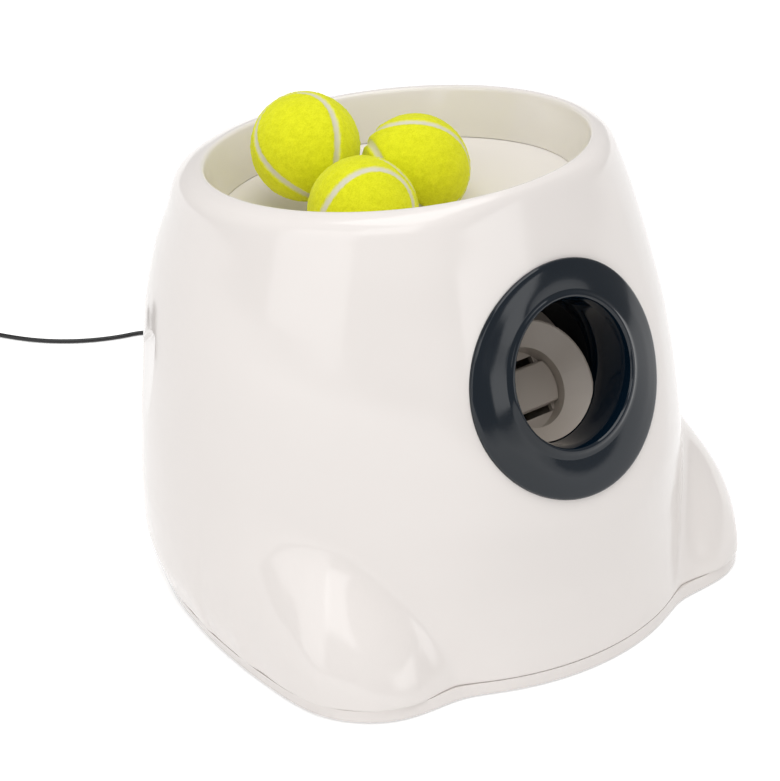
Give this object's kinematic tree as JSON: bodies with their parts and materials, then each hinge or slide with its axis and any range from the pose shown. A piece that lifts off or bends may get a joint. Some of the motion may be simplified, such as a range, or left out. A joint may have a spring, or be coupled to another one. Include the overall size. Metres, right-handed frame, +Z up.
{
  "type": "automatic dog ball launcher",
  "caption": "Round table-top dog ball launcher with an open bowl of three balls, a dark trumpet launch ring, a spring-driven striker with gear train, rear controls and a coiled supply lead.",
  "frame": {"origin": "on the floor, under the centre of the round base", "axes": "+Z up, -Y the way the balls are launched, +X to the right seen from the front"},
  "size_m": [0.258, 0.5324, 0.2215],
  "materials": {
    "housing_white": "gloss",
    "ring_navy": "gloss",
    "barrel_black": "satin",
    "striker_cream": "satin",
    "gear_nylon": "satin",
    "pinion_brass": "satin",
    "plate_steel": "satin",
    "motor_can": "satin",
    "spring_steel": "satin",
    "rubber_black": "matt",
    "panel_grey": "satin",
    "button_grey": "satin",
    "board_green": "satin",
    "light_clear": "gloss",
    "cell_wrap": "gloss",
    "lead_black": "satin",
    "tie_grey": "satin",
    "adapter_black": "satin",
    "pin_nickel": "gloss",
    "felt_yellow": "matt"
  },
  "bodies": {
    "housing": {"adapter_body": "adapter_black", "adapter_pins": "pin_nickel", "ball_sensor": "lead_black", "barrel_rear_cap": "barrel_black", "barrel_tube": "barrel_black", "base_tray": "housing_white", "battery_box": "barrel_black", "battery_cells": "cell_wrap", "battery_contacts": "spring_steel", "battery_door": "housing_white", "battery_door_screw": "plate_steel", "body_shell": "housing_white", "buzzer": "lead_black", "control_panel": "panel_grey", "cord_coil": "lead_black", "cord_tail": "lead_black", "cord_tie": "tie_grey", "dc_jack": "lead_black", "dc_plug": "lead_black", "drive_shaft": "plate_steel", "gearbox_plate_left": "plate_steel", "gearbox_plate_right": "plate_steel", "gearbox_spacers": "plate_steel", "hopper_funnel": "housing_white", "housing_screws": "plate_steel", "idler_shaft": "plate_steel", "launch_ring": "ring_navy", "main_board": "board_green", "motor": "motor_can", "power_cord": "lead_black", "rear_cradle": "barrel_black", "rubber_feet": "rubber_black", "shaft_bushes": "pinion_brass", "spring_left": "spring_steel", "spring_posts": "plate_steel", "spring_right": "spring_steel", "status_lights": "light_clear", "striker_bumpers": "rubber_black"},
    "striker": {"striker_cup": "striker_cream", "striker_bar": "striker_cream", "striker_rack": "gear_nylon"},
    "drive": {"drive_wheel": "gear_nylon"},
    "idler": {"idler_gear": "gear_nylon"},
    "pinion": {"motor_pinion": "pinion_brass"},
    "power_key": {"power_button": "button_grey"},
    "distance_key": {"distance_button": "button_grey"},
    "ball_a": {"ball_1": "felt_yellow"},
    "ball_b": {"ball_2": "felt_yellow"},
    "ball_c": {"ball_3": "felt_yellow"}
  },
  "joints": [
    {"name": "drive_turn", "type": "hinge", "parent": "housing", "child": "drive", "pos_m": [0, -0.00546, 0.03908], "axis": [-1, 0, 0], "range_deg": [0, 315.2]},
    {"name": "striker_slide", "type": "slide", "parent": "housing", "child": "striker", "axis": [0, 0.9478, -0.319], "range_m": [0, 0.11], "deforming": ["spring_left", "spring_right"]},
    {"name": "idler_turn", "type": "hinge", "parent": "housing", "child": "idler", "pos_m": [0, 0.02219, 0.0342], "axis": [1, 0, 0], "range_deg": [0, 1156]},
    {"name": "pinion_turn", "type": "hinge", "parent": "housing", "child": "pinion", "pos_m": [0, 0.04527, 0.0342], "axis": [-1, 0, 0], "range_deg": [0, 4160]},
    {"name": "power_press", "type": "slide", "parent": "housing", "child": "power_key", "axis": [0, -1, 0], "range_m": [0, 0.0015], "stiffness_N_per_m": 300, "springref_m": -0.001},
    {"name": "distance_press", "type": "slide", "parent": "housing", "child": "distance_key", "axis": [0, -1, 0], "range_m": [0, 0.0015], "stiffness_N_per_m": 300, "springref_m": -0.001},
    {"name": "ball_1_lift", "type": "slide", "parent": "housing", "child": "ball_a", "axis": [0, 0, 1], "range_m": [0, 0.12]},
    {"name": "ball_2_lift", "type": "slide", "parent": "housing", "child": "ball_b", "axis": [0.1505, -0.1004, 0.9835], "range_m": [0, 0.12]},
    {"name": "ball_3_lift", "type": "slide", "parent": "housing", "child": "ball_c", "axis": [0, -0.2, 0.9798], "range_m": [0, 0.12]}
  ],
  "couplings": [
    {"joint": "drive_turn", "follows": "striker_slide", "rad_per_m": 50},
    {"joint": "idler_turn", "follows": "striker_slide", "rad_per_m": 183.33},
    {"joint": "pinion_turn", "follows": "striker_slide", "rad_per_m": 660}
  ]
}
